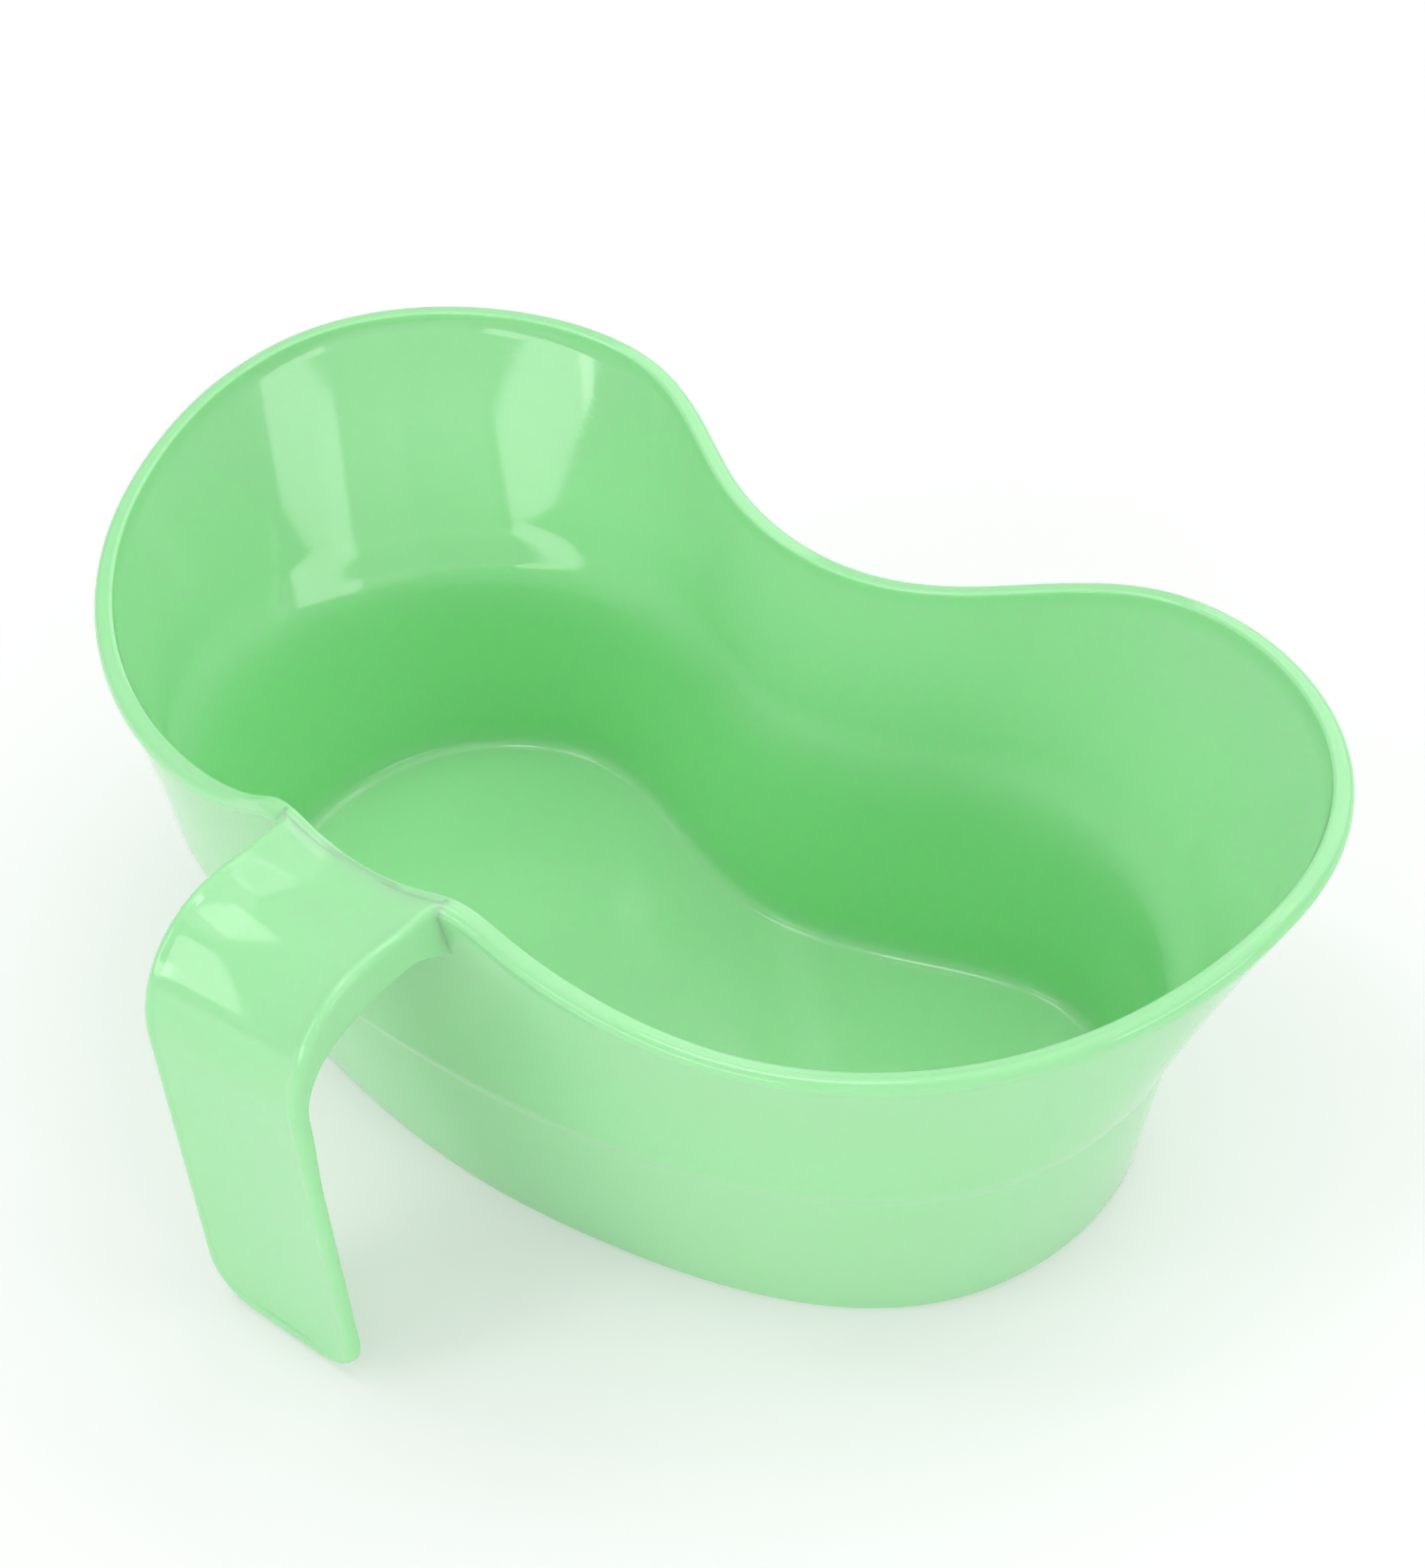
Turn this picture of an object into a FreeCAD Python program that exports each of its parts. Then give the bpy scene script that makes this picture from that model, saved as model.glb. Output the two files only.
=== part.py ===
import FreeCAD, Part
import math
import os

# Kidney-shaped hospital basin with a hook handle, one polypropylene moulding.
# Millimetres. +X along the length, -Y towards the handle, +Z up, z = 0 on the table.
# It is one moulding in reality; it is written as two solids that meet face to face
# on the basin's outer wall: the basin and its handle.

V = FreeCAD.Vector

# ---- driving dimensions ----
WALL = 2.6            # wall and floor thickness
BELT_Z = 45.6         # height of the belt, where the wall starts to flare
RIM_WIDTH = 4.0       # width of the rim's top
BEAD_HEIGHT = 2.4     # height of the bead round the outside of the rim
BEAD_STEP = 0.6       # how far the bead stands out of the wall
BELT_SOFT = 0.16      # share of the wall each side of the belt that its inside bend takes
FLARE_DIP = 0.65      # how far the flared wall dips in from straight, half way up
BASE_RADIUS = 1.2     # rounding between base and wall
FLOOR_RADIUS = 5.0    # rounding between floor and wall, inside
CORNER_X = 24.0       # where the rim turns into the handle's edges
CORNER_RISE = 20.3    # how far the rim rises to these corners
CORNER_FADE = 27.5    # length over which this rise fades along the rim
MOUTH_SAG = 4.9       # dip of the rim between the two corners
CURVE_POINTS = 144    # points taken on each closed outline
FINE = 800            # steps used to space these points evenly

# Right half of each outline, from the middle of the handle side round to the notch.
BASE = [(0, -81), (36, -77.5), (69.5, -68), (95.5, -48.5), (105.5, -17.5), (96, 15),
        (67, 32.5), (33.5, 25), (0, 16.5)]
BELT = [(0, -92), (40.5, -89), (81, -77), (112.5, -48), (116, -3), (88.5, 31),
        (53, 40.5), (24, 32.5), (0, 26.5)]
RIM = [(0, -100.4, 81.5), (45, -94.4, 79.5), (90.7, -80.3, 81.5), (129.3, -44.2, 88),
       (139.4, 10.5, 96), (110.8, 49.8, 97.5), (66.6, 59.9, 95), (31.4, 43.9, 89.5), (0, 37.4, 86)]

# Handle: a channel that leaves the rim level, bends down and hangs as an open hook.
# The short tables give a size against the distance along it from the root.
GRIP_WALL = [(60, 2.4), (80, 3.0)]       # deeper than the flanges at the tip: the channel runs out
GRIP_HALF = 20.3      # half the width of the strap
ROOT_Y = -97.0        # the path starts inside the basin's wall
ROOT_TILT = [(0, 0.12), (6, 0.0)]        # the first sections lean with this wall
ROOT_RISE = [(2, 0.2), (13, 0.0)]        # and stand level with the rim
STATIONS = 32         # sections along the handle, less one
HALF_WIDTH = [(0, 21.8), (4, 20.3)]
DEPTH = [(0, 15.0), (7, 9.2), (23, 9.8), (57, 3.4), (77, 2.6)]     # of the two flanges
DIP = [(3, 3.2), (19, 0.0)]              # sag of the strap between its edges
BEND_RADIUS = 24.0    # of the top of the strap, where it turns down
BEND_Y = -114.0       # where this bend starts
TOP_Z = 99.0          # height of the level stretch before it
GRIP_LEAN = 2.9       # degrees that the grip leans back towards the basin
TIP_Z = 1.0           # the tip hangs just clear of the table
TIP_CORNER = 11.0     # corner radius of the tip, seen from the front
EDGE_ROUND = 1.8      # rounding along the two long outer edges


def closed(half):
    """Smooth closed curve through the half outline and its mirror image, evenly spaced."""
    right = [V(*p) for p in half]
    left = [V(-p.x, p.y, p.z) for p in right[-2:0:-1]]
    knots = right + left
    curve = Part.BSplineCurve()
    steps = [float(i) for i in range(len(knots) + 1)]
    curve.interpolate(Points=knots, PeriodicFlag=True, Parameters=steps)
    end = len(half) - 1.0
    fine = [curve.value(end * i / FINE) for i in range(FINE + 1)]
    run = [0.0]
    for p, q in zip(fine, fine[1:]):
        run.append(run[-1] + math.hypot(q.x - p.x, q.y - p.y))
    count = CURVE_POINTS // 2
    points = []
    k = 0
    for i in range(count + 1):
        goal = run[-1] * i / count
        while k < FINE - 1 and run[k + 1] < goal:
            k += 1
        t = (goal - run[k]) / (run[k + 1] - run[k])
        points.append(fine[k] + (fine[k + 1] - fine[k]) * t)
    return points + [V(-p.x, p.y, p.z) for p in points[-2:0:-1]]


def inset(points, distance):
    """The outline moved inwards in plan; heights stay."""
    moved = []
    count = len(points)
    for i, p in enumerate(points):
        run = points[(i + 1) % count] - points[i - 1]
        run.z = 0
        run.normalize()
        moved.append(p + V(-run.y, run.x, 0) * distance)
    return moved


def lift(points, z):
    return [V(p.x, p.y, z) for p in points]


def shift(points, dz):
    return [p + V(0, 0, dz) for p in points]


def between(low, high, t):
    return [a + (b - a) * t for a, b in zip(low, high)]


def corner_rise(p):
    """Rise of the rim where it turns out into the handle."""
    if p.y > 0:
        return 0.0
    across = abs(p.x)
    if across < CORNER_X:
        return CORNER_RISE - MOUTH_SAG * (1 - (across / CORNER_X) ** 2)
    return CORNER_RISE * math.exp(-(across - CORNER_X) / CORNER_FADE)


def rim_line():
    """Outer edge of the rim."""
    return [p + V(0, 0, corner_rise(p)) for p in closed(RIM)]


def wire(points):
    curve = Part.BSplineCurve()
    curve.interpolate(Points=points, PeriodicFlag=True)
    return Part.Wire([curve.toShape()])


def rings_at(solid, z):
    """The closed edges of a solid that lie flat at height z."""
    rings = []
    for edge in solid.Edges:
        box = edge.BoundBox
        if edge.isClosed() and abs(box.ZMin - z) < 0.01 and abs(box.ZMax - z) < 0.01:
            rings.append(edge)
    return rings


def basin():
    base = lift(closed([(x, y, 0) for x, y in BASE]), 0)
    belt = lift(closed([(x, y, 0) for x, y in BELT]), BELT_Z)
    rim = rim_line()
    shoulder = shift(inset(rim, BEAD_STEP), -BEAD_HEIGHT - 0.8)
    halfway = inset(between(belt, shoulder, 0.5), FLARE_DIP)
    inner_rim = inset(rim, RIM_WIDTH)
    inner_belt = inset(belt, WALL)
    inner_half = inset(between(inner_belt, inner_rim, 0.5), FLARE_DIP)
    floor = inset(between(base, belt, WALL / BELT_Z), WALL)
    above = between(inner_belt, inner_half, 2 * BELT_SOFT)
    below = between(inner_belt, floor, BELT_SOFT)
    bend = between(between(above, below, 0.5), inner_belt, 0.5)
    sections = [
        base,
        belt,
        halfway,
        shoulder,
        shift(rim, -BEAD_HEIGHT),
        shift(rim, -BEAD_HEIGHT + 0.4),
        shift(inset(rim, 0.6), -0.65),
        inset(rim, 2.0),
        inset(rim, RIM_WIDTH - 0.5),
        shift(inner_rim, -0.6),
        inner_half,
        above,
        bend,
        below,
        floor,
    ]
    solid = Part.makeLoft([wire(s) for s in sections], True, True)
    solid = solid.makeFillet(BASE_RADIUS, rings_at(solid, 0))
    return solid.makeFillet(FLOOR_RADIUS, rings_at(solid, WALL)).Solids[0]


def path(s):
    """Point and outward normal on the handle's top, s mm from its start."""
    lean = math.radians(90 + GRIP_LEAN)
    centre = V(0, BEND_Y, TOP_Z - BEND_RADIUS)
    straight = ROOT_Y - BEND_Y
    bend = BEND_RADIUS * lean
    if s < straight:
        return V(0, ROOT_Y - s, TOP_Z), V(0, 0, 1)
    turn = min((s - straight) / BEND_RADIUS, lean)
    out = V(0, -math.sin(turn), math.cos(turn))
    point = centre + out * BEND_RADIUS
    drop = max(s - straight - bend, 0)
    return point + V(0, -math.cos(lean), -math.sin(lean)) * drop, out


def blend(s, table):
    """Value at s in a short table of (s, value), eased between its rows."""
    if s <= table[0][0]:
        return table[0][1]
    for (s0, v0), (s1, v1) in zip(table, table[1:]):
        if s <= s1:
            t = (s - s0) / (s1 - s0)
            return v0 + (v1 - v0) * t * t * (3 - 2 * t)
    return table[-1][1]


def path_length():
    lean = math.radians(90 + GRIP_LEAN)
    top_of_grip = TOP_Z - BEND_RADIUS + BEND_RADIUS * math.cos(lean)
    grip = (top_of_grip - TIP_Z) / math.sin(lean)
    return ROOT_Y - BEND_Y + BEND_RADIUS * lean + grip


def stations():
    """Handle stations: point on the top, outward normal, half width, depth, dip, wall."""
    rows = []
    length = path_length()
    for i in range(STATIONS + 1):
        s = length * i / STATIONS
        point, out = path(s)
        point += V(0, 0, blend(s, ROOT_RISE))
        out = out + V(0, -blend(s, ROOT_TILT), 0)
        sizes = [blend(s, table) for table in (HALF_WIDTH, DEPTH, DIP, GRIP_WALL)]
        rows.append((point, out, *sizes))
    return rows


def section(origin, out, half, top, bottom, dip, corner=0.0):
    """Section with a dished top, two sides and a flat underside; corner rounds its top edges."""
    side = V(half, 0, 0)
    flat = V(half - corner, 0, 0)
    low = origin - out * bottom
    start = origin - out * top
    turn = start - out * corner
    dish = Part.BezierCurve()
    dish.setPoles([start - flat, start - out * 2 * dip, start + flat])
    edges = [dish.toShape()]
    if corner:
        swing = corner * math.sqrt(0.5)
        middle = V(half - corner + swing, 0, 0)
        rise = out * swing
        edges.append(Part.Arc(start + flat, turn + middle + rise, turn + side).toShape())
    edges.append(Part.makeLine(turn + side, low + side))
    edges.append(Part.makeLine(low + side, low - side))
    edges.append(Part.makeLine(low - side, turn - side))
    if corner:
        edges.append(Part.Arc(turn - side, turn - middle + rise, start - flat).toShape())
    return Part.Wire(edges)


def tip_corners():
    """What is cut away to round the two corners of the tip."""
    r = TIP_CORNER
    low = TIP_Z - 5
    pieces = []
    for side in (-1, 1):
        x = side * (GRIP_HALF + 0.05 - r)
        block = Part.makeBox(r + 5, 60, r + 5, V(min(x, x + side * (r + 5)), -160, low))
        drum = Part.makeCylinder(r, 60, V(x, -160, TIP_Z + r), V(0, 1, 0))
        pieces.append(block.cut(drum))
    return pieces


def handle(bowl):
    outer = []
    recess = []
    rows = stations()
    for origin, out, half, depth, dip, wall in rows:
        outer.append(section(origin, out, half, 0, depth, dip, EDGE_ROUND))
        inner_half = half - WALL
        edge_dip = dip * (1 - (inner_half / half) ** 2)
        recess.append(section(origin, out, inner_half, wall + edge_dip, depth + 3, dip - edge_dip))
    body = Part.makeLoft(outer, True, False)
    hollow = Part.makeLoft(recess, True, False)
    body = body.cut(hollow).cut(tip_corners())
    return body.cut(bowl).Solids[0]


os.makedirs("parts", exist_ok=True)
bowl = basin()
grip = handle(bowl)
for name, shape in (("bowl", bowl), ("handle", grip)):
    shape.exportStep("parts/" + name + ".step")
    print(name, len(shape.Solids), shape.isValid(), round(shape.Volume / 1000, 1), shape.BoundBox)
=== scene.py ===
import math

import bmesh
import bpy
import numpy as np
from mathutils import Matrix, Vector


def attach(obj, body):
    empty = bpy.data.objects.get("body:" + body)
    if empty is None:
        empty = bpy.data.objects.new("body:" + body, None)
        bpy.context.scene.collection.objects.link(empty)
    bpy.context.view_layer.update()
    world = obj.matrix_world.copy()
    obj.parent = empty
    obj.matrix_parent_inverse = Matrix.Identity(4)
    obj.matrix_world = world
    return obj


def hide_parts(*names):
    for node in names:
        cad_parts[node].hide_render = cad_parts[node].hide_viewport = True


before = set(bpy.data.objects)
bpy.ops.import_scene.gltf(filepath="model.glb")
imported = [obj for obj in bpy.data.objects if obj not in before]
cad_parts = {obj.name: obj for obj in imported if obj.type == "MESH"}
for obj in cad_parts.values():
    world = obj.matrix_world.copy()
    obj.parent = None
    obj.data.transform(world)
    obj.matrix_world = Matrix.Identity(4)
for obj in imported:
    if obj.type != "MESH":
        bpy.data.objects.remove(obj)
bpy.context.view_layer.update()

# Everything is worked out in millimetres in the row frame and scaled when the meshes are made:
# +X along the basin, -Y towards the handle, +Z up, the table at z = 0.
MM = 0.001

# ---- basin: the CAD part's driving dimensions, but for a tighter rounding at the floor ----
WALL = 2.6             # wall and floor thickness
BELT_Z = 45.6          # height of the belt, where the wall starts to flare
RIM_WIDTH = 4.0        # width of the rim's top
BEAD_HEIGHT = 2.4      # height of the bead round the outside of the rim
BEAD_STEP = 0.6        # how far the bead stands out of the wall
FLARE_DIP = 0.65       # how far the flared wall dips in from straight, half way up
BASE_RADIUS = 1.2      # rounding between base and wall
FLOOR_RADIUS = 2.2     # rounding between floor and wall, inside
CORNER_X = 24.0        # where the rim turns into the handle's edges
CORNER_RISE = 20.3     # how far the rim rises to these corners
CORNER_FADE = 27.5     # length over which this rise fades along the rim
MOUTH_SAG = 4.9        # dip of the rim between the two corners

# Right half of each outline, from the middle of the handle side round to the notch.
BASE = [(0, -81), (36, -77.5), (69.5, -68), (95.5, -48.5), (105.5, -17.5), (96, 15),
        (67, 32.5), (33.5, 25), (0, 16.5)]
BELT = [(0, -92), (40.5, -89), (81, -77), (112.5, -48), (116, -3), (88.5, 31),
        (53, 40.5), (24, 32.5), (0, 26.5)]
RIM = [(0, -100.4, 81.5), (45, -94.4, 79.5), (90.7, -80.3, 81.5), (129.3, -44.2, 88),
       (139.4, 10.5, 96), (110.8, 49.8, 97.5), (66.6, 59.9, 95), (31.4, 43.9, 89.5), (0, 37.4, 86)]

# ---- basin: what only this model has. Shares of the wall run 0..1 up to the belt, 1..2 to the rim ----
LEDGE = 1.2            # the inside of the lower wall stands this much further in
LEDGE_TOP = 1.22       # share where this ledge starts
LEDGE_SPAN = 0.24      # and the share it takes to come in
STEP = 0.5             # the outside of the lower wall is this much in at the belt, less further down
STEP_TOP = 1.04        # share where this step starts
STEP_SPAN = 0.12       # and the share it takes
UNDER_BEAD = 1.1       # height of the turn from the wall out to the bead
RIM_EDGE = 1.6         # the inner wall starts this far under the rim's top
PAINTED_SHADE_TOP = 49.0        # painted shade: the inner wall is a deeper green from this height down
PAINTED_SHADE_FADE = 16.0       # height over which it comes in
PAINTED_SHADE_FOOT = 5.0        # height above the floor over which it goes again
COLUMNS = 576          # points round the basin
FINE = 4001            # closer points used to space half of these evenly
RIM_SOFTEN = 15        # columns over which the rim's height is averaged
SHRINK = 0.01          # keeps the rim inside the CAD's box
DISC_RINGS = (0.8, 2.4, 6.0)   # insets of the rings that edge the floor and the underside

# ---- handle: the short tables give a size against the distance along it from the root ----
GRIP_HALF = 20.3       # half the width of the strap
BEND_RADIUS = 24.0     # of the top of the strap, where it turns down
BEND_Y = -114.0        # where this bend starts
TOP_Z = 99.0           # height of the level stretch before it
GRIP_LEAN = 2.9        # degrees that the grip leans back towards the basin
TIP_Z = 0.5            # the tip hangs just clear of the table
TIP_CORNER = 11.0      # corner radius of the tip, seen from the front
EDGE_ROUND = 1.8       # rounding along the two long outer edges
ROOT_Y = -97.0         # the path starts inside the basin's wall
GRIP_WALL = [(60, 2.4), (80, 3.0)]         # deeper than the flanges at the tip: the channel runs out
DEPTH = [(0.5, 12.4), (9, 9.0), (23, 9.8), (57, 3.4), (77, 2.6)]     # of the two flanges
DIP = [(3, 3.2), (19, 2.0), (45, 1.6), (66, 0.3), (90, 0.1)]         # sag of the strap between its edges
ROOT_FLARE = 0.8       # concave turn from the handle's edge into the rim
CREASE = 0.2           # the same turn lower down, where the flange meets the wall
ROOT_SINK = 0.35       # the flange ends this far inside the wall
ROOT_EASE = 9.0        # length over which the handle's top eases into the rim's
PLATE_EASE = 12.0      # length over which the strap's middle follows the rim
FLANGE_FILLET = 2.8    # curve from the flange's lower edge down into the wall
FLANGE_ROUND = 0.6     # rounding of this lower edge
FLANGE_TOP = 4.0       # the flange gets deeper only below this drop
PLATE_ROUND = 1.0      # rounding between the flange and the strap, inside the channel
ROUND_GAIN = 0.2       # the edge's rounding is this much deeper at the root
LEAST_LIP = 0.04       # the flange reaches at least this far under the strap
CREST = 0.22           # the edge bead stands this much above the strap
PLATE = 24             # columns across the strap
STRAP_COLUMNS = 70     # columns along it, after the closer ones near the root
NEAR_GAP = 3.0         # these start this far from the rim
NEAR_SPAN = 5.6
NEAR_STEP = 0.7
NEAR_END = 1.2         # distance from the last of them to the next column
HANDLE_SIDE = 60.0     # this far towards the handle and to each side, a ring is near the root
LEVEL_DROP = 8.0       # this near TOP_Z, the strap follows the rim


# ------------------------------------------------------------------ outlines
def smooth(t):
    """Eases in and out from 0 to 1 as t does."""
    t = np.clip(t, 0, 1)
    return t * t * (3 - 2 * t)


def periodic_cubic(knots, t):
    """Smooth closed curve through the knots, one unit of t apart."""
    n = len(knots)
    a = np.zeros((n, n))
    for i in range(n):
        a[i, i] = 4
        a[i, (i + 1) % n] += 1
        a[i, i - 1] += 1
    rhs = 3 * (np.roll(knots, -1, 0) - np.roll(knots, 1, 0))
    slope = np.linalg.solve(a, rhs)
    i = np.floor(t).astype(int) % n
    j = (i + 1) % n
    u = (t - np.floor(t))[:, None]
    h0 = 2 * u**3 - 3 * u**2 + 1
    h1 = u**3 - 2 * u**2 + u
    h2 = -2 * u**3 + 3 * u**2
    h3 = u**3 - u**2
    return h0 * knots[i] + h1 * slope[i] + h2 * knots[j] + h3 * slope[j]


def closed(half, count=COLUMNS):
    """The outline through half and its mirror image, evenly spaced, starting at the handle side."""
    right = np.array(half, float)
    if right.shape[1] == 2:
        right = np.c_[right, np.zeros(len(right))]
    left = right[-2:0:-1] * [-1, 1, 1]
    fine = periodic_cubic(np.vstack([right, left]), np.linspace(0, len(half) - 1, FINE))
    run = np.r_[0, np.cumsum(np.hypot(*np.diff(fine[:, :2], axis=0).T))]
    goal = np.linspace(0, run[-1], count // 2 + 1)
    points = np.c_[[np.interp(goal, run, fine[:, k]) for k in range(3)]].T
    return np.vstack([points, points[-2:0:-1] * [-1, 1, 1]])


def inset(ring, distance):
    """The ring moved inwards in plan; heights stay."""
    run = np.roll(ring[:, :2], -1, 0) - np.roll(ring[:, :2], 1, 0)
    run /= np.hypot(*run.T)[:, None]
    return ring + np.c_[-run[:, 1], run[:, 0], np.zeros(len(ring))] * np.reshape(distance, (-1, 1))


def corner_rise(x, y):
    """How far the rim rises near its two corners at the handle."""
    across = np.abs(x)
    mouth = CORNER_RISE - MOUTH_SAG * (1 - (across / CORNER_X) ** 2)
    beyond = CORNER_RISE * np.exp(-(across - CORNER_X) / CORNER_FADE)
    rise = np.where(across < CORNER_X, mouth, beyond)
    return np.where(y > 0, 0, rise)


def lift(ring, z):
    """The ring's plan at height z."""
    return np.c_[ring[:, :2], np.broadcast_to(z, len(ring))]


def soften(values, width):
    """Moving average round a closed row of numbers."""
    kernel = np.hanning(width + 2)[1:-1]
    kernel /= kernel.sum()
    spread = np.r_[values[-width:], values, values[:width]]
    return np.convolve(spread, kernel, "same")[width:-width]


base_line = closed(BASE)
belt_line = lift(closed(BELT), BELT_Z)
rim_line = inset(closed(RIM), SHRINK)
rim_line[:, 2] = soften(rim_line[:, 2] + corner_rise(*rim_line.T[:2]), RIM_SOFTEN)


# ------------------------------------------------------------------ basin mesh
# inset from the rim's edge and height over its top, where each side of the wall ends
WALL_TOPS = {"out": (BEAD_STEP, -BEAD_HEIGHT - UNDER_BEAD), "in": (RIM_WIDTH, -RIM_EDGE)}


def wall_point(side, t):
    """Ring on one side of the wall. t runs 0..1 below the belt and 1..2 above it."""
    shift = STEP * smooth((STEP_TOP - t) / STEP_SPAN) * min(t, 1)
    if side == "in":
        shift = WALL + LEDGE * smooth((LEDGE_TOP - t) / LEDGE_SPAN)
    if t <= 1:
        return inset(base_line + (belt_line - base_line) * t, shift)
    u = t - 1
    top_shift, drop = WALL_TOPS[side]
    low = inset(belt_line, shift)
    high = inset(rim_line, top_shift) + [0, 0, drop]
    return inset(low + (high - low) * u, 4 * FLARE_DIP * u * (1 - u))


def rounded(a, b, c, steps):
    """Quadratic bend from ring a to ring c round corner ring b, ends left out."""
    rows = []
    for t in np.linspace(0, 1, steps + 2)[1:-1]:
        rows.append(a * (1 - t) ** 2 + b * 2 * t * (1 - t) + c * t**2)
    return rows


def quarter(o0, z0, o1, z1, steps, first):
    """Quarter ellipse of (inset from outer edge, drop) pairs from (o0, z0) to (o1, z1)."""
    pairs = []
    for a in np.linspace(0, math.pi / 2, steps + 1):
        s, c = math.sin(a), 1 - math.cos(a)
        f, g = (s, c) if first == "o" else (c, s)
        pairs.append((o0 + (o1 - o0) * f, z0 + (z1 - z0) * g))
    return pairs


def base_rows():
    """Rings from the flat underside round the base edge."""
    rows = []
    flat = lift(base_line, 0)
    for a in np.linspace(0, math.pi / 2, 7):
        ring = inset(flat, BASE_RADIUS * (1 - math.sin(a)))
        rows.append(lift(ring, BASE_RADIUS * (1 - math.cos(a))))
    grown = (belt_line - base_line)[:, :2]
    for row in rows:
        row[:, :2] += grown * (row[:, 2:] / BELT_Z)
    return rows


def outer_rows():
    """Rings up the outside of the wall, closer together round the step at the belt."""
    below = np.linspace(BASE_RADIUS / BELT_Z, 0.9, 10)[1:]
    round_step = np.linspace(0.9, 1.06, 19)[1:]
    above = np.linspace(1.06, 2.0, 17)[1:-1]
    return [wall_point("out", t) for t in np.r_[below, round_step, above]]


def rim_rows():
    """Rings from the turn under the bead over the rim's top to its inner edge."""
    # shares of the bead's step, and distances under the bead
    turn = [(1.0, UNDER_BEAD), (0.97, 0.85), (0.85, 0.6), (0.6, 0.4), (0.3, 0.25), (0.1, 0.12)]
    section = [(BEAD_STEP * o, -BEAD_HEIGHT - drop) for o, drop in turn + [(0.0, -0.05)]]
    section += quarter(0.0, -2.1, 2.0, 0.0, 8, "z")
    section += [(2.3, -0.02), (3.0, -0.02)]
    section += quarter(3.1, 0.0, RIM_WIDTH, -0.5, 4, "o")
    section += [(RIM_WIDTH, -RIM_EDGE)]
    return [inset(rim_line, o) + [0, 0, dz] for o, dz in section]


def inner_rows():
    """Rings down the inside of the wall, closer together round the ledge, and the floor's edge."""
    above = np.linspace(2.0, 1.3, 13)[1:]
    ledge = np.linspace(1.3, 1.06, 17)[1:]
    rows = [wall_point("in", t) for t in np.r_[above, ledge]]
    rows += rounded(wall_point("in", 1.06), wall_point("in", 1.0), wall_point("in", 0.94), 7)
    foot = (WALL + FLOOR_RADIUS) / BELT_Z
    rows += [wall_point("in", t) for t in np.linspace(0.94, foot, 11)]
    for a in np.linspace(0, math.pi / 2, 10)[1:]:
        z = WALL + FLOOR_RADIUS * (1 - math.sin(a))
        ring = base_line + (belt_line - base_line) * (z / BELT_Z)
        rows.append(inset(lift(ring, z), WALL + LEDGE + FLOOR_RADIUS * (1 - math.cos(a))))
    return rows


def close_disc(bm, loop, ring):
    """Closes a flat opening: a few rings just inside its edge, then one face."""
    for distance in DISC_RINGS:
        inner = [bm.verts.new(p) for p in inset(ring, distance) * MM]
        for i in range(COLUMNS):
            j = (i + 1) % COLUMNS
            bm.faces.new((loop[i], loop[j], inner[j], inner[i]))
        loop = inner
    bm.faces.new(loop)


def build_basin():
    """All rings joined, with the share of the painted shade, a deeper green on the lower inner wall,
    kept on the inner ones as a vertex attribute.
    """
    bm = bmesh.new()
    painted_shade = bm.verts.layers.float.new("painted_shade")
    rows = base_rows() + outer_rows() + rim_rows()
    first_inner = len(rows)
    rows += inner_rows()
    grid = [[bm.verts.new(p) for p in row * MM] for row in rows]
    # painted shade: a deeper green down the inner wall below the belt, fading out just above the floor
    for row, verts in zip(rows[first_inner:], grid[first_inner:]):
        share = smooth((PAINTED_SHADE_TOP - row[:, 2]) / PAINTED_SHADE_FADE) * smooth((row[:, 2] - WALL) / PAINTED_SHADE_FOOT)
        for vert, value in zip(verts, share):
            vert[painted_shade] = value
    for low, high in zip(grid, grid[1:]):
        for i in range(COLUMNS):
            j = (i + 1) % COLUMNS
            bm.faces.new((low[i], low[j], high[j], high[i]))
    close_disc(bm, grid[0], rows[0])
    close_disc(bm, grid[-1], rows[-1])
    return finish_mesh(bm, "basin")


def finish_mesh(bm, name):
    """Makes a smooth-shaded object of the mesh, with its faces turned outwards."""
    bmesh.ops.recalc_face_normals(bm, faces=bm.faces)
    for face in bm.faces:
        face.smooth = True
    mesh = bpy.data.meshes.new(name)
    bm.to_mesh(mesh)
    bm.free()
    obj = bpy.data.objects.new(name, mesh)
    bpy.context.scene.collection.objects.link(obj)
    return obj


basin = build_basin()
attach(basin, "root")
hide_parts("bowl")


# ------------------------------------------------------------------ handle mesh
def eased(s, table):
    """Value at s in a short table of (s, value), eased between its rows."""
    if s <= table[0][0]:
        return table[0][1]
    for (s0, v0), (s1, v1) in zip(table, table[1:]):
        if s <= s1:
            return v0 + (v1 - v0) * smooth((s - s0) / (s1 - s0))
    return table[-1][1]


def path(s):
    """Point on the handle's top and the outward normal there, s mm along it."""
    lean = math.radians(90 + GRIP_LEAN)
    straight = ROOT_Y - BEND_Y
    turn = min(max(s - straight, 0) / BEND_RADIUS, lean)
    out = np.array([0, -math.sin(turn), math.cos(turn)])
    along = np.array([0, -math.cos(turn), -math.sin(turn)])
    ahead = max(s - straight - BEND_RADIUS * lean, 0) - max(straight - s, 0)
    return np.array([0, BEND_Y, TOP_Z - BEND_RADIUS]) + out * BEND_RADIUS + along * ahead, out


def path_length():
    """Length of the handle's path, from the root to the tip."""
    lean = math.radians(90 + GRIP_LEAN)
    top_of_grip = TOP_Z - BEND_RADIUS + BEND_RADIUS * math.cos(lean)
    return ROOT_Y - BEND_Y + BEND_RADIUS * lean + (top_of_grip - TIP_Z) / math.sin(lean)


SPREAD = GRIP_HALF + ROOT_FLARE


def handle_side(ring):
    """The part of a ring on the handle side, in order of x."""
    ring = ring[(ring[:, 1] < -HANDLE_SIDE) & (np.abs(ring[:, 0]) < HANDLE_SIDE)]
    return ring[np.argsort(ring[:, 0])]


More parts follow.
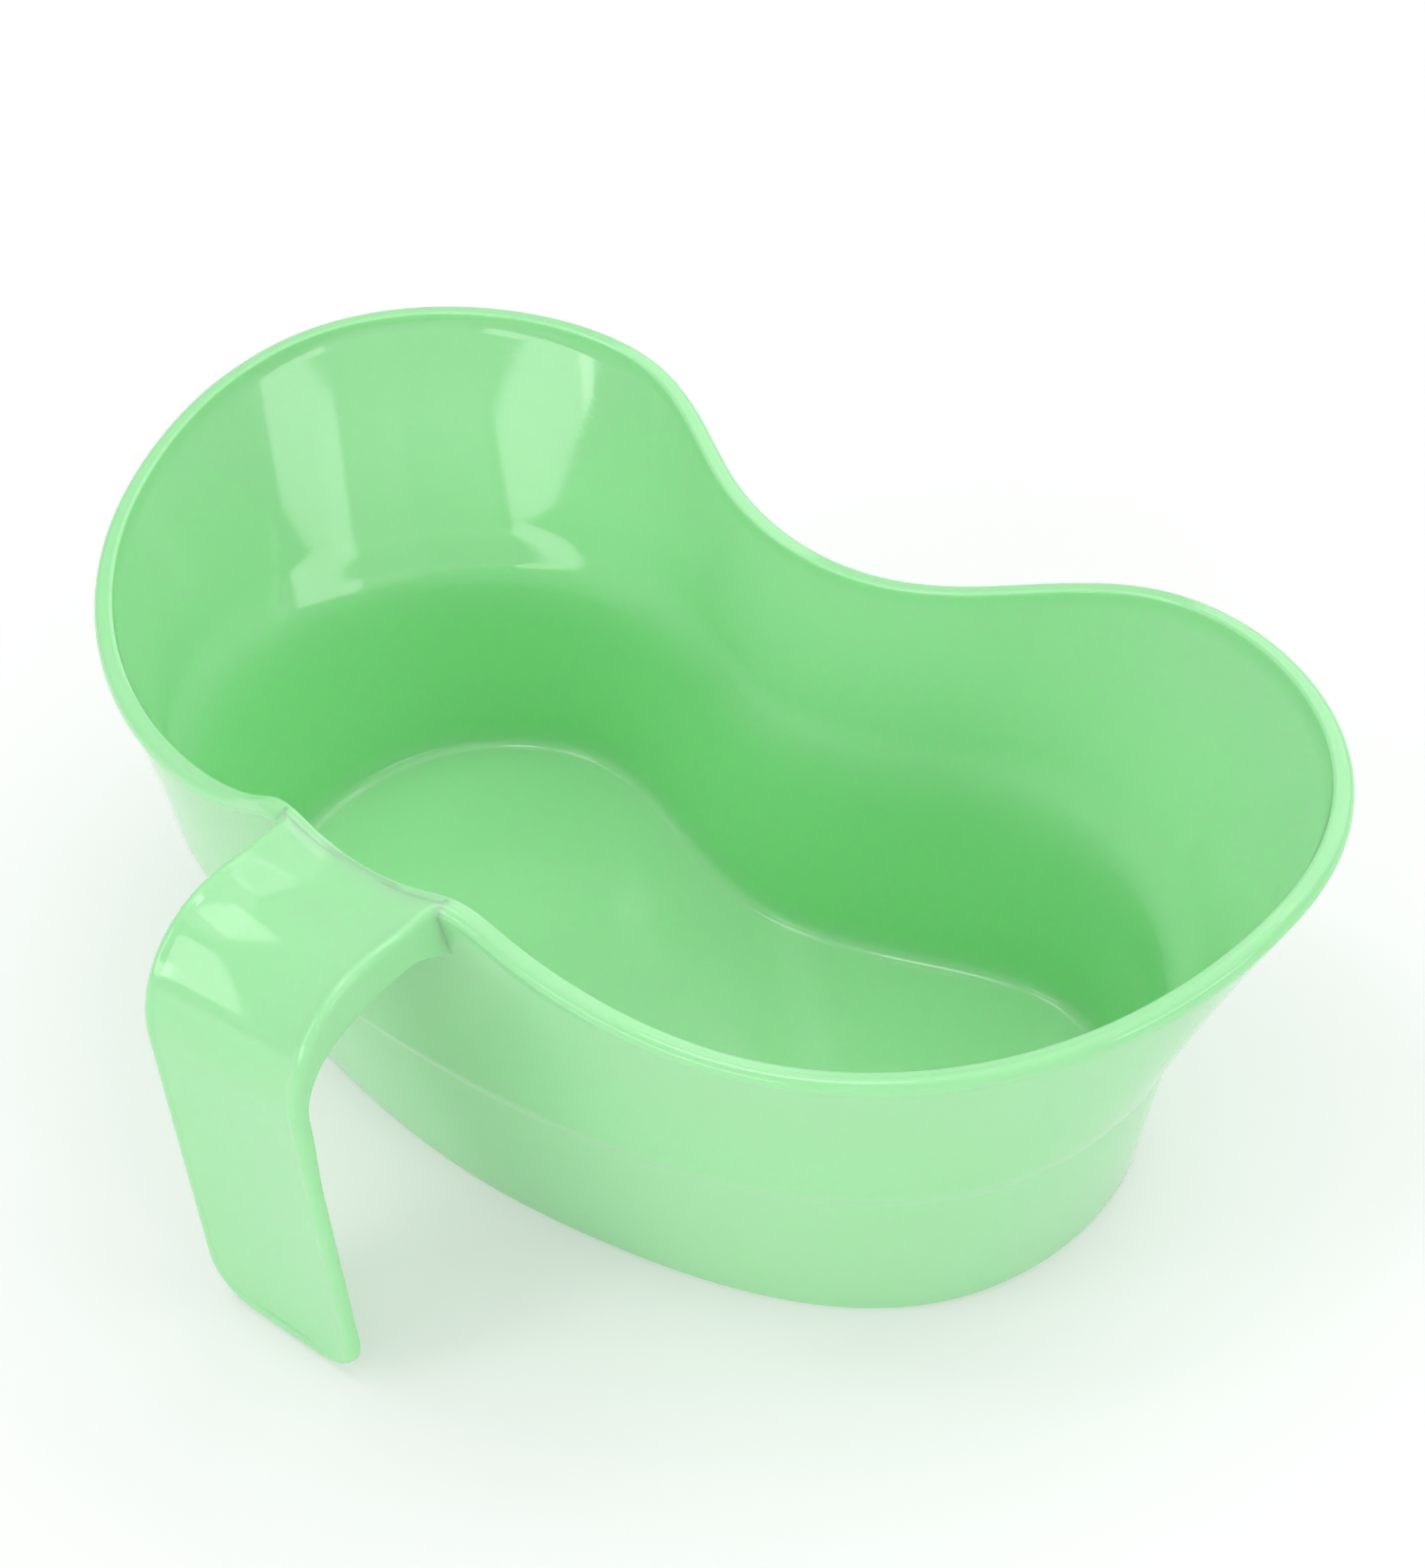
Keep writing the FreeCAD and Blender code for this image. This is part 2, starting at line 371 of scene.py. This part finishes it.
def wall_section(x):
    """(y, z) up the outside of the flared wall at x, on the handle side."""
    points = []
    for t in np.linspace(1, 2, 26):
        ring = handle_side(wall_point("out", t))
        points.append([np.interp(x, ring[:, 0], ring[:, k]) for k in (1, 2)])
    return np.array(points)


near = handle_side(rim_line)
wall_at_root = wall_section(SPREAD)


def rim_y(x):
    """Where the rim's outer edge is at x, on the handle side."""
    return np.interp(x, near[:, 0], near[:, 1])


def rim_z(x):
    """The rim's height there."""
    return np.interp(x, near[:, 0], near[:, 2])


def wall_inset(drop):
    """How far the basin's outside lies behind the rim's edge, drop mm below it, at the handle."""
    if drop <= BEAD_HEIGHT:
        return 0.0
    y = np.interp(rim_z(SPREAD) - drop, wall_at_root[:, 1], wall_at_root[:, 0])
    step = y - rim_y(SPREAD)
    return step * smooth(drop - BEAD_HEIGHT)


def top_point(x, s, drop):
    """Point drop mm under the handle's top. Near the basin this top eases into the rim's."""
    point, out = path(s)
    across = min(abs(x) / GRIP_HALF, 1.0)
    sag = eased(s, DIP) * (1 - across**2)
    place = point + [x, 0, 0] - out * (drop + sag)
    joined = smooth((point[1] - rim_y(x) + ROOT_EASE) / ROOT_EASE)
    place[2] += joined * (rim_z(x) - TOP_Z + sag)
    return place


def profile(s):
    """Half section from the top inwards: (kind, inset from the edge, drop, inset on the basin)."""
    depth = eased(s, DEPTH)
    joined = smooth((ROOT_Y - s - rim_y(SPREAD) + ROOT_EASE) / ROOT_EASE)
    round_drop = EDGE_ROUND + ROUND_GAIN * joined
    crest = CREST * (1 - joined)
    rows = [("top", 3.4, crest, 2.95),
            ("top", 2.9, crest * 0.85, 2.6),
            ("top", 2.4, crest * 0.3, 2.25)]
    for a in np.linspace(0, math.pi / 2, 9):
        q, drop = EDGE_ROUND * (1 - math.sin(a)), round_drop * (1 - math.cos(a))
        rows.append(("top", q, drop, q * 2.0 / EDGE_ROUND))
    low = depth - FLANGE_ROUND
    for t in (0.12, 0.24, 0.36, 0.5, 0.75, 1.0):
        rows.append(("side", 0.0, round_drop + (low - round_drop) * t, 0.0))
    for a in (30, 60, 90):
        c, n = math.cos(math.radians(a)), math.sin(math.radians(a))
        rows.append(("side", FLANGE_ROUND * (1 - c), low + FLANGE_ROUND * n, 0.0))
    under = min(eased(s, GRIP_WALL), depth - LEAST_LIP)
    bend = min(FLANGE_ROUND, (depth - under) / 2)
    for a in (0, 30, 60, 90):
        c, n = math.cos(math.radians(a)), math.sin(math.radians(a))
        rows.append(("inner", WALL - bend * (1 - n), depth - bend * (1 - c), 0.0))
    bend = min(PLATE_ROUND, (depth - under) / 2)
    for a in (0, 30, 60, 90):
        c, n = math.cos(math.radians(a)), math.sin(math.radians(a))
        rows.append(("inner", WALL + bend * (1 - c), under + bend * (1 - n), 0.0))
    return rows


def root_fillet(y, wall_y):
    """Extra depth of the flange where its lower edge curves down into the wall."""
    t = np.clip((y - wall_y + FLANGE_FILLET) / FLANGE_FILLET, 0, 1)
    return FLANGE_FILLET * (1 - math.sqrt(1 - t * t))


def stretch(row, extra, depth):
    """Drop of a profile row when the flange is extra deeper."""
    kind, q, drop, behind = row
    if kind == "top" or drop < FLANGE_TOP:
        return drop
    return drop + extra * min((drop - FLANGE_TOP) / (depth - FLANGE_TOP), 1)


def root_columns(root_y):
    """The flare from the rim and the wall into the handle's edge."""
    rows = profile(ROOT_Y - root_y)
    depth = eased(ROOT_Y - root_y, DEPTH)
    columns = []
    for turn in np.radians(np.linspace(90, 0, 11)):
        column = []
        for row in rows:
            kind, q, drop, behind = row
            below = 0
            if kind != "top":
                below = smooth((drop - EDGE_ROUND) / 2)
                behind = wall_inset(stretch(row, FLANGE_FILLET, depth)) + ROOT_SINK * below
            flare = ROOT_FLARE + (CREASE - ROOT_FLARE) * below
            reach = flare + q
            y = root_y + behind - reach + reach * math.sin(turn)
            x = GRIP_HALF + flare - reach * math.cos(turn)
            if kind == "inner":
                x = GRIP_HALF - q
                y = root_y + behind - flare + flare * math.sin(turn)
            y += (rim_y(x) - rim_y(SPREAD)) * math.sin(turn) ** 2
            drop = stretch(row, root_fillet(y, root_y + behind), depth)
            place = top_point(x, ROOT_Y - y, drop)
            place[1] = y
            column.append(place)
        columns.append(column)
    return columns


def strap_columns(root_y, last):
    """The handle's edge from the flare to the tip's corner, last mm along the path."""
    first = ROOT_Y - root_y + NEAR_GAP
    near_root = np.arange(first, first + NEAR_SPAN, NEAR_STEP)
    columns = []
    for s in np.r_[near_root, np.linspace(near_root[-1] + NEAR_END, last, STRAP_COLUMNS)]:
        depth = eased(s, DEPTH)
        column = []
        for row in profile(s):
            behind = wall_inset(stretch(row, FLANGE_FILLET, depth))
            extra = root_fillet(ROOT_Y - s, root_y + behind) if row[0] != "top" else 0
            column.append(top_point(GRIP_HALF - row[1], s, stretch(row, extra, depth)))
        columns.append(column)
    return columns


def tip_columns(length, last):
    """The tip's corner and half of the tip's lower edge."""
    rows = profile(length)
    columns = []
    for turn in np.radians(np.linspace(0, 90, 13)[1:]):
        column = []
        for kind, q, drop, behind in rows:
            reach = TIP_CORNER - q
            x = GRIP_HALF - TIP_CORNER + reach * math.cos(turn)
            column.append(top_point(x, last + reach * math.sin(turn), drop))
        columns.append(column)
    for t in np.linspace(0, 1, PLATE // 2 + 1)[1:]:
        x = (GRIP_HALF - TIP_CORNER) * (1 - t)
        columns.append([top_point(x, length - q, drop) for kind, q, drop, behind in rows])
    return columns


def half_rails():
    """Columns of points from the root to the middle of the tip, one point per profile row."""
    length = path_length()
    last = length - TIP_CORNER
    root_y = rim_y(SPREAD)
    return root_columns(root_y) + strap_columns(root_y, last) + tip_columns(length, last)


def plate_rows(columns, rail):
    """Points across the strap from one rail to its mirror image, for each column before the tip."""
    rows = []
    for column in columns[: len(columns) - PLATE // 2]:
        end = column[rail]
        level = end[2] > TOP_Z - LEVEL_DROP
        share = smooth((end[1] - rim_y(SPREAD) + PLATE_EASE) / PLATE_EASE) if level else 0
        row = []
        for t in np.linspace(1, -1, PLATE + 1):
            x = end[0] * t
            sag_end = height_over(end[0], end[1])
            place = np.array([x, end[1], end[2]])
            if end[1] > BEND_Y:
                place[1] += share * (rim_y(x) - rim_y(end[0]))
                place[2] += height_over(x, place[1]) - sag_end
            else:
                s, out = nearest_s(end)
                change = eased(s, DIP) * ((end[0] / GRIP_HALF) ** 2 - (x / GRIP_HALF) ** 2)
                place -= out * change
            row.append(place)
        rows.append(row)
    return rows


def height_over(x, y):
    """Height of the handle's top over a point."""
    return top_point(x, ROOT_Y - y, 0)[2]


def nearest_s(point):
    """Distance along the path at a point of the bend or the grip, and the normal there."""
    lean = math.radians(90 + GRIP_LEAN)
    straight = ROOT_Y - BEND_Y
    turn = min(math.atan2(BEND_Y - point[1], point[2] - TOP_Z + BEND_RADIUS), lean)
    s = straight + BEND_RADIUS * turn
    return s, path(s)[1]


def build_handle():
    """Both rails round the tip, closed by one sheet over the strap and one under it."""
    bm = bmesh.new()
    columns = half_rails()
    tops, unders = plate_rows(columns, 0), plate_rows(columns, -1)
    mirror = np.array([-1, 1, 1])
    everyone = columns + [[p * mirror for p in column] for column in columns[-2::-1]]
    grid = [[bm.verts.new(p * MM) for p in column] for column in everyone]
    for a, b in zip(grid, grid[1:]):
        for i in range(len(a) - 1):
            bm.faces.new((a[i], a[i + 1], b[i + 1], b[i]))
    for rows, rail in ((tops, 0), (unders, -1)):
        last = len(rows) - 1
        sheet = []
        for i, row in enumerate(rows):
            verts = [grid[i][rail]]
            for c, p in enumerate(row[1:-1], 1):
                verts.append(grid[last + c][rail] if i == last else bm.verts.new(p * MM))
            verts.append(grid[-1 - i][rail])
            sheet.append(verts)
        for a, b in zip(sheet, sheet[1:]):
            for i in range(PLATE):
                bm.faces.new((a[i], a[i + 1], b[i + 1], b[i]))
    return finish_mesh(bm, "handle_strap")


strap = build_handle()
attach(strap, "root")
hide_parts("handle")


# ------------------------------------------------------------------ material
TINT_DEEP = (0.366, 0.765, 0.392, 1)
TINT_PALE = (0.382, 0.775, 0.408, 1)
TINT_PAINTED_SHADE = (0.3, 0.76, 0.325, 1)      # painted shade: a deeper green on the lower wall, inside, where it is shaded
CLOUD_SCALE = 22       # noise scales are in cells per metre
GLOSS_SCALE = 120
WAVES_SCALE = 45
PEEL_SCALE = 900
ROUGHNESS = (0.06, 0.1)
NOISE_MIDDLE = (0.3, 0.7)              # where most of a noise's values lie


def node(tree, kind, **values):
    """Adds a shader node, and sets its sockets or settings by name."""
    made = tree.nodes.new(kind)
    for name, value in values.items():
        if name in made.inputs.keys():
            made.inputs[name].default_value = value
        else:
            setattr(made, name, value)
    return made


def noise(tree, where, scale, detail):
    """Noise values at the places given."""
    made = node(tree, "ShaderNodeTexNoise", Scale=scale, Detail=detail, Roughness=0.55)
    tree.links.new(where, made.inputs["Vector"])
    return made.outputs["Fac"]


def spread(tree, value, low, high):
    """Maps the middle of a noise on to low..high."""
    made = node(tree, "ShaderNodeMapRange")
    for name, number in zip(("From Min", "From Max", "To Min", "To Max"), (*NOISE_MIDDLE, low, high)):
        made.inputs[name].default_value = number
    tree.links.new(value, made.inputs["Value"])
    return made.outputs["Result"]


def plastic(name):
    """Glossy mint polypropylene: faint clouding, uneven gloss, orange peel and flow waviness, with
    painted shade (a deeper green) on the lower inner wall.
    """
    mat = bpy.data.materials.new(name)
    mat.use_nodes = True
    tree = mat.node_tree
    shader = tree.nodes["Principled BSDF"]
    shader.inputs["IOR"].default_value = 1.55
    shader.inputs["Subsurface Weight"].default_value = 0.6
    shader.inputs["Subsurface Radius"].default_value = (0.3, 1.0, 0.35)
    shader.inputs["Subsurface Scale"].default_value = 0.004
    where = node(tree, "ShaderNodeTexCoord").outputs["Object"]
    cloud = spread(tree, noise(tree, where, CLOUD_SCALE, 2), 0, 1)
    tint = node(tree, "ShaderNodeMix", data_type="RGBA")
    tint.inputs["A"].default_value = TINT_DEEP
    tint.inputs["B"].default_value = TINT_PALE
    tree.links.new(cloud, tint.inputs["Factor"])
    # painted shade: the lower inner wall is mixed towards a deeper green
    deeper = node(tree, "ShaderNodeMix", data_type="RGBA")
    deeper.inputs["B"].default_value = TINT_PAINTED_SHADE
    tree.links.new(node(tree, "ShaderNodeAttribute", attribute_name="painted_shade").outputs["Fac"],
                   deeper.inputs["Factor"])
    tree.links.new(tint.outputs["Result"], deeper.inputs["A"])
    tree.links.new(deeper.outputs["Result"], shader.inputs["Base Color"])
    gloss = spread(tree, noise(tree, where, GLOSS_SCALE, 3), *ROUGHNESS)
    tree.links.new(gloss, shader.inputs["Roughness"])
    waves = node(tree, "ShaderNodeBump", Strength=0.1, Distance=0.0004)
    tree.links.new(noise(tree, where, WAVES_SCALE, 1), waves.inputs["Height"])
    peel = node(tree, "ShaderNodeBump", Strength=0.06, Distance=0.0002)
    tree.links.new(noise(tree, where, PEEL_SCALE, 2), peel.inputs["Height"])
    tree.links.new(waves.outputs["Normal"], peel.inputs["Normal"])
    tree.links.new(peel.outputs["Normal"], shader.inputs["Normal"])
    return mat


green = plastic("mint polypropylene")
basin.data.materials.append(green)
strap.data.materials.append(green)


# ------------------------------------------------------------------ camera
CAMERA_ANGLES = (43.585, 40.807, -4.257)   # azimuth, elevation and roll in degrees
CAMERA_TARGET = (-9.31, 7.07, 40.0)
CAMERA_DISTANCE = 780.9
SENSOR = 36.0
LENS = 85.3739         # focal length for this sensor


def set_camera():
    """A camera at the viewpoint given by the angles about a point over the basin."""
    azimuth, elevation, roll = (math.radians(a) for a in CAMERA_ANGLES)
    target = Vector(CAMERA_TARGET) * MM
    distance = CAMERA_DISTANCE * MM
    forward = Vector((-math.sin(azimuth) * math.cos(elevation),
                      math.cos(azimuth) * math.cos(elevation), -math.sin(elevation)))
    right = Vector((math.cos(azimuth), math.sin(azimuth), 0))
    up = right.cross(forward)
    r = right * math.cos(roll) + up * math.sin(roll)
    u = up * math.cos(roll) - right * math.sin(roll)
    data = bpy.data.cameras.new("camera")
    data.sensor_width = SENSOR
    data.lens = LENS
    data.clip_start = 0.05
    data.clip_end = 50
    camera = bpy.data.objects.new("camera", data)
    bpy.context.scene.collection.objects.link(camera)
    axes = Matrix((r, u, -forward)).transposed().to_4x4()
    camera.matrix_world = Matrix.Translation(target - forward * distance) @ axes
    bpy.context.scene.camera = camera


set_camera()


# ------------------------------------------------------------------ stage and light
FLOOR_HALF = 10.0      # metres
FLOOR_GAP = 0.0002     # metres between the floor and the basin's underside
FLOOR_GREY = (0.66, 0.66, 0.66, 1)
FLOOR_GLOW = 0.3
WORLD_GLOW = 0.42
LIGHTS_ABOUT = (0, 0, 0.07)
# name, azimuth and elevation, degrees wide and high, radiance, distance in metres
LIGHTS = [
    ("front", -5, 16, 36, 12, 2.8, 1.6),
    ("right", 88, 20, 30, 15, 2.4, 1.6),
    ("front_left", -27, 27, 18, 34, 2.2, 1.6),
    ("left_top", -71, 61, 24, 12, 2.0, 1.6),
    ("overhead", -30, 76, 10, 10, 5.0, 1.6),
    ("ceiling", 0, 89, 60, 60, 0.77, 2.4),
    ("low_fill", 50, 14, 60, 26, 0.4, 2.4),
    ("right_fill", 80, 40, 60, 50, 0.3, 2.4),
    ("back_fill", 180, 40, 60, 50, 1.2, 2.4),
]


def softbox(name, azimuth, elevation, wide, high, radiance, distance):
    """Soft light seen from the basin in one direction, its size given in degrees."""
    data = bpy.data.lights.new(name, "AREA")
    data.shape = "RECTANGLE"
    data.size = 2 * distance * math.tan(math.radians(wide / 2))
    data.size_y = 2 * distance * math.tan(math.radians(high / 2))
    data.energy = radiance * math.pi * data.size * data.size_y
    light = bpy.data.objects.new(name, data)
    bpy.context.scene.collection.objects.link(light)
    a, e = math.radians(azimuth), math.radians(elevation)
    away = Vector((math.sin(a) * math.cos(e), -math.cos(a) * math.cos(e), math.sin(e)))
    light.location = Vector(LIGHTS_ABOUT) + away * distance
    light.rotation_euler = (-away).to_track_quat("-Z", "Y").to_euler()


def build_stage():
    """The pale floor, the even light round it and the soft lights."""
    bm = bmesh.new()
    bmesh.ops.create_grid(bm, x_segments=8, y_segments=8, size=FLOOR_HALF)
    floor = finish_mesh(bm, "floor")
    floor.location.z = -FLOOR_GAP
    mat = bpy.data.materials.new("pale floor")
    mat.use_nodes = True
    shader = mat.node_tree.nodes["Principled BSDF"]
    shader.inputs["Base Color"].default_value = FLOOR_GREY
    shader.inputs["Roughness"].default_value = 0.9
    shader.inputs["Specular IOR Level"].default_value = 0.1
    shader.inputs["Emission Color"].default_value = (1, 1, 1, 1)
    shader.inputs["Emission Strength"].default_value = FLOOR_GLOW
    floor.data.materials.append(mat)
    world = bpy.data.worlds.new("studio")
    bpy.context.scene.world = world
    world.use_nodes = True
    background = world.node_tree.nodes["Background"]
    background.inputs["Color"].default_value = (1, 1, 1, 1)
    background.inputs["Strength"].default_value = WORLD_GLOW
    for light in LIGHTS:
        softbox(*light)


build_stage()
bpy.context.scene.view_settings.view_transform = "Standard"
